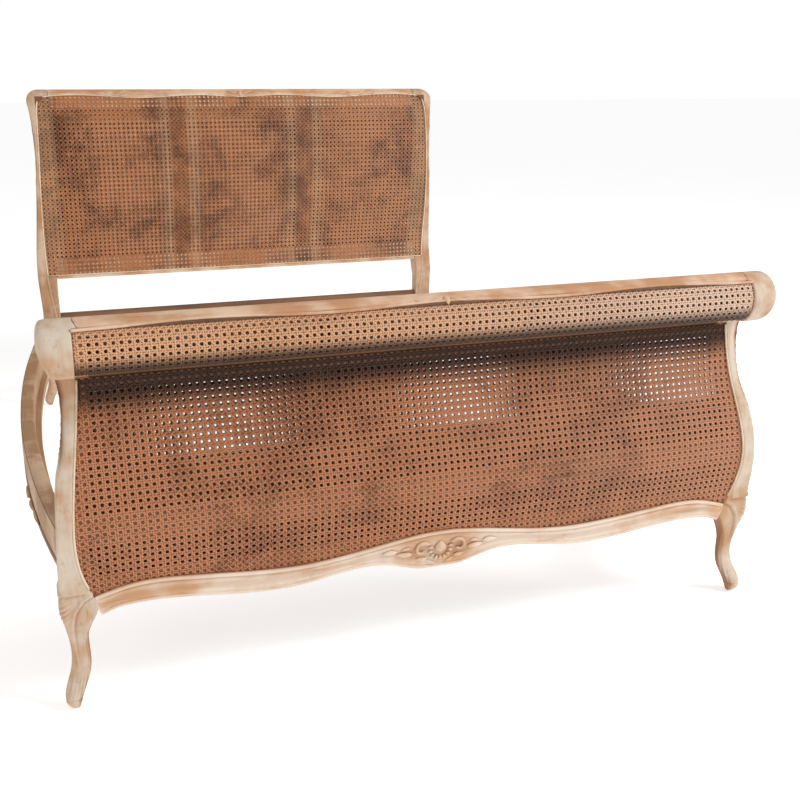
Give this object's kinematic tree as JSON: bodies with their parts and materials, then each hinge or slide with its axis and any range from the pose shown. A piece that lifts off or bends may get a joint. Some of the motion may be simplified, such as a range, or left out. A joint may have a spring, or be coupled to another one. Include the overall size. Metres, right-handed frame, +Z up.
{
  "type": "sleigh bed",
  "caption": "Carved wooden sleigh bed with cane-panelled S-curved head and foot boards, a rolled foot board, cabriole legs and bowed side rails.",
  "frame": {"origin": "on the floor, at the centre of the bed's footprint", "axes": "+X across the bed to the right seen from the foot, +Y from foot to head, +Z up"},
  "size_m": [1.6, 2.1, 1.1],
  "materials": {
    "limed_wood": "pale limed beech, hand rubbed, dry wax",
    "raw_wood": "unfinished brown beech on the hidden faces",
    "cane": "stained rattan cane, six-way weave",
    "reed": "round rattan reed",
    "steel": "aged bright steel"
  },
  "bodies": {
    "root": {"foot_post_left": "limed_wood", "foot_post_right": "limed_wood", "foot_top_rail": "limed_wood", "foot_lip_rail": "raw_wood", "foot_roll_formers": "raw_wood", "foot_apron": "limed_wood", "foot_belly_rail": "raw_wood", "foot_cross_rail": "limed_wood", "foot_stile_left": "raw_wood", "foot_stile_right": "raw_wood", "foot_roll_cane": "cane", "foot_outer_cane": "cane", "foot_inner_cane": "cane", "foot_front_spline": "reed", "foot_back_spline": "reed", "foot_roll_splines": "reed", "head_post_left": "limed_wood", "head_post_right": "limed_wood", "head_top_rail": "limed_wood", "head_panel_rail": "limed_wood", "head_low_rail": "limed_wood", "head_muntin_left": "raw_wood", "head_muntin_right": "raw_wood", "head_front_cane": "cane", "head_back_cane": "cane", "head_front_spline": "reed", "head_back_spline": "reed", "side_rail_left": "limed_wood", "side_rail_right": "limed_wood", "base_ledge_left": "raw_wood", "base_ledge_right": "raw_wood", "rail_hook_plates": "steel", "post_slot_plates": "steel", "plate_screws": "steel", "ledge_screws": "steel"}
  },
  "joints": []
}
